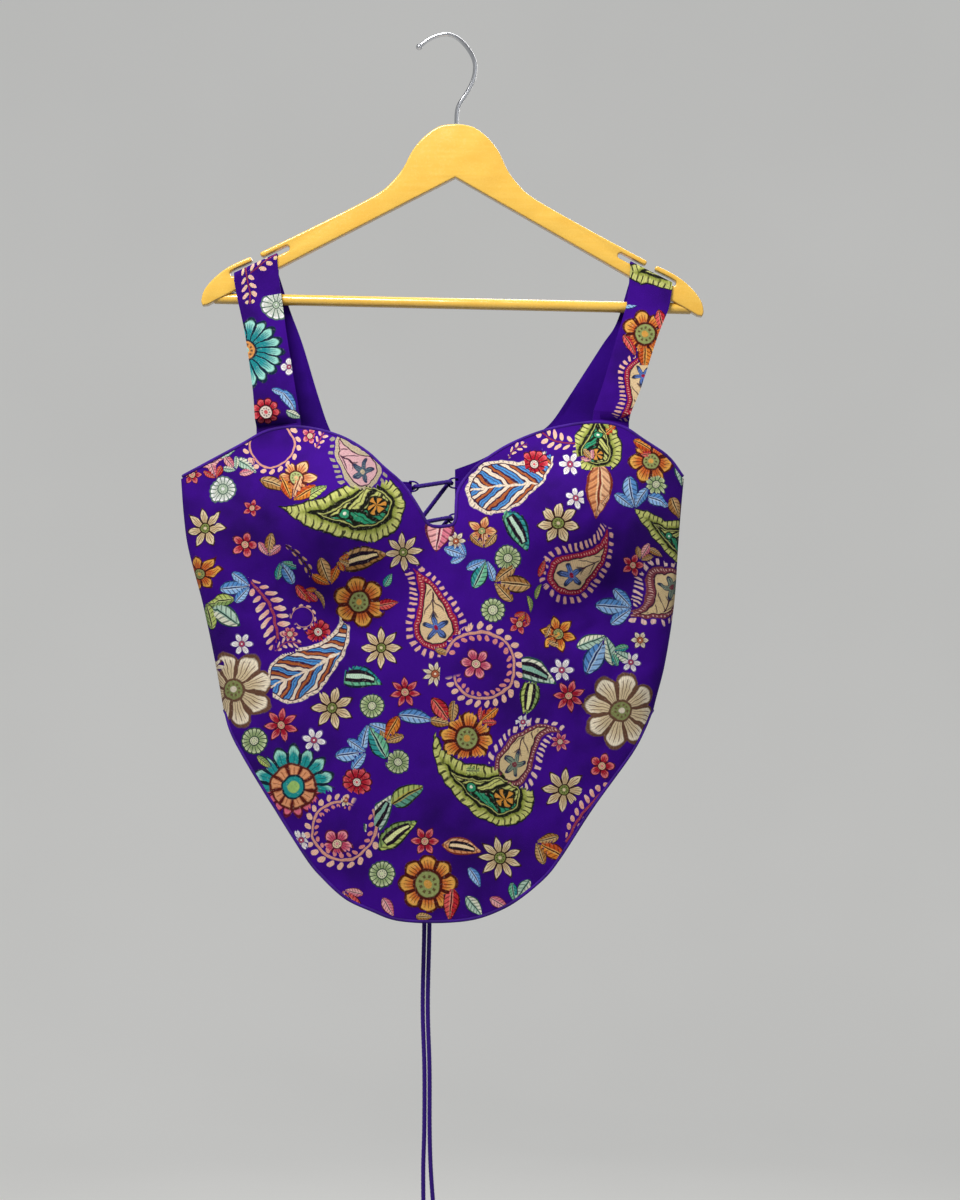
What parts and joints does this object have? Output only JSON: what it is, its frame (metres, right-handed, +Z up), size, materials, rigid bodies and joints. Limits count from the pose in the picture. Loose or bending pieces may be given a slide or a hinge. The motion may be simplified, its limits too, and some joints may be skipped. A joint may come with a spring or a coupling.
{
  "type": "choli blouse on a hanger",
  "caption": "Sleeveless printed choli blouse with padded cups, wide straps and a lace-up back, hanging on a wooden hanger with a metal hook.",
  "frame": {"origin": "the inside top of the hook's crook, where a rail or nail carries the hanger", "axes": "+Z up, -Y towards the blouse's front, +X to the right of someone who looks at its front"},
  "size_m": [0.4572, 0.1011, 1.05],
  "materials": {
    "printed_cloth": "matte woven cotton, violet ground with a multicoloured paisley and flower print",
    "plain_cloth": "matte woven, plain violet",
    "lace_cord": "soft round cord, plain violet",
    "hanger_wood": "satin yellow lacquer",
    "hook_chrome": "polished"
  },
  "bodies": {
    "root": {"front": "printed_cloth", "back_left": "printed_cloth", "back_right": "printed_cloth", "strap_left": "printed_cloth", "strap_right": "printed_cloth", "neck_piping": "plain_cloth", "hem_piping": "plain_cloth", "loop_tape_left": "plain_cloth", "loop_tape_right": "plain_cloth", "lace": "lace_cord", "lace_knot": "lace_cord", "lace_end_left": "lace_cord", "lace_end_right": "lace_cord", "hanger_body": "hanger_wood", "hanger_bar": "hanger_wood", "hanger_hook": "hook_chrome"}
  },
  "joints": []
}
